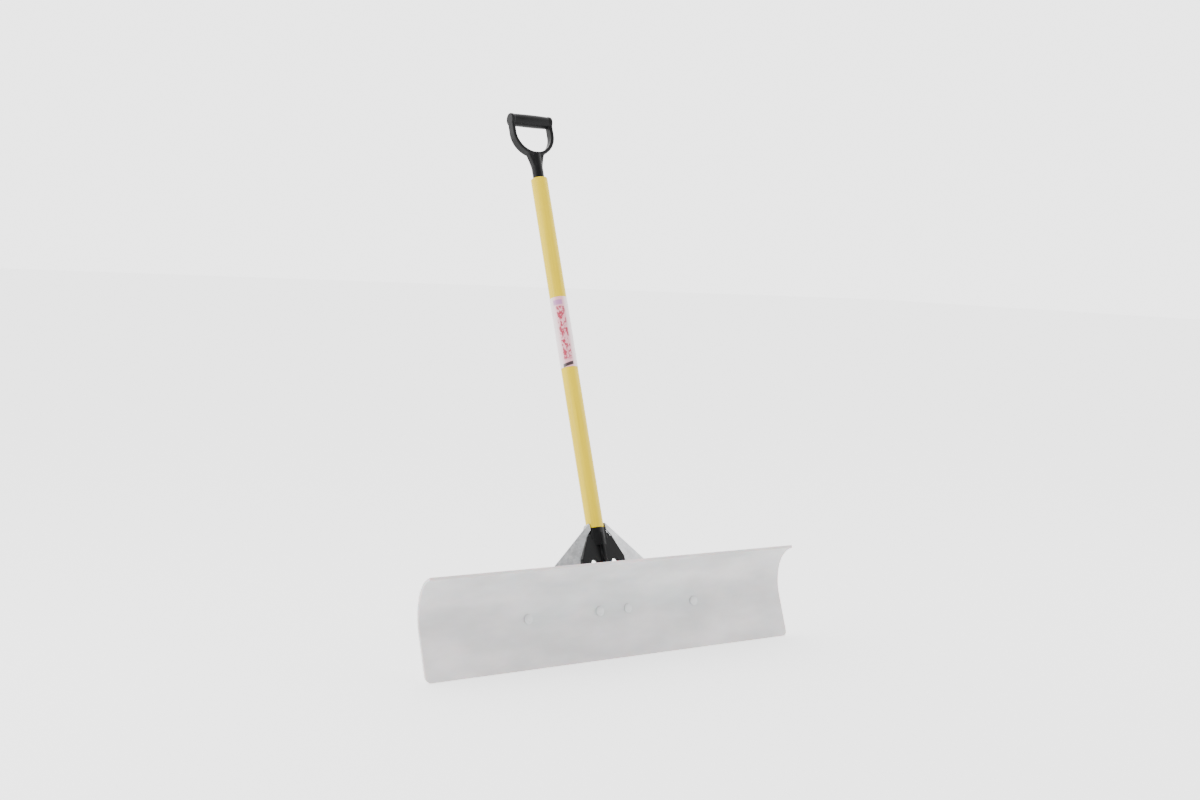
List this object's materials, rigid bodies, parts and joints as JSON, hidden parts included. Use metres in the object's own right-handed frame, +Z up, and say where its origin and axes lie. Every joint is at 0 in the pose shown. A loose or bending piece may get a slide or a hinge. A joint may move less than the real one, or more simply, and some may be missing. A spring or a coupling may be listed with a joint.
{
  "type": "snow pusher shovel",
  "caption": "Snow pusher shovel with a wide curved plastic sheet blade, braced bracket, leaning yellow pole and black D grip.",
  "frame": {"origin": "on the floor, under the middle of the whole shovel's box", "axes": "+X along the blade, to the right seen from the snow side; -Y towards the snow; +Z up, with the pole leaning back towards +Y"},
  "size_m": [0.9144, 0.4894, 1.1587],
  "materials": {
    "sheet_plastic": "satin milky sheet",
    "black_nylon": "fine moulded texture",
    "galvanised_steel": "hot dipped, spangled",
    "zinc_steel": "bright zinc plate",
    "yellow_fibreglass": "smooth pultruded gloss",
    "label_film": "satin printed film"
  },
  "bodies": {
    "root": {"blade": "sheet_plastic", "bracket": "black_nylon", "left_brace": "galvanised_steel", "right_brace": "galvanised_steel", "pole": "yellow_fibreglass", "label": "label_film", "grip": "black_nylon", "bracket_screw": "zinc_steel", "grip_screw": "zinc_steel", "neck_bolt": "zinc_steel", "neck_washer_left": "zinc_steel", "neck_washer_right": "zinc_steel", "neck_nut": "zinc_steel", "blade_bolt_outer_left": "zinc_steel", "blade_washer_outer_left": "zinc_steel", "blade_nut_outer_left": "zinc_steel", "blade_bolt_inner_left": "zinc_steel", "blade_washer_inner_left": "zinc_steel", "blade_nut_inner_left": "zinc_steel", "blade_bolt_inner_right": "zinc_steel", "blade_washer_inner_right": "zinc_steel", "blade_nut_inner_right": "zinc_steel", "blade_bolt_outer_right": "zinc_steel", "blade_washer_outer_right": "zinc_steel", "blade_nut_outer_right": "zinc_steel"}
  },
  "joints": []
}
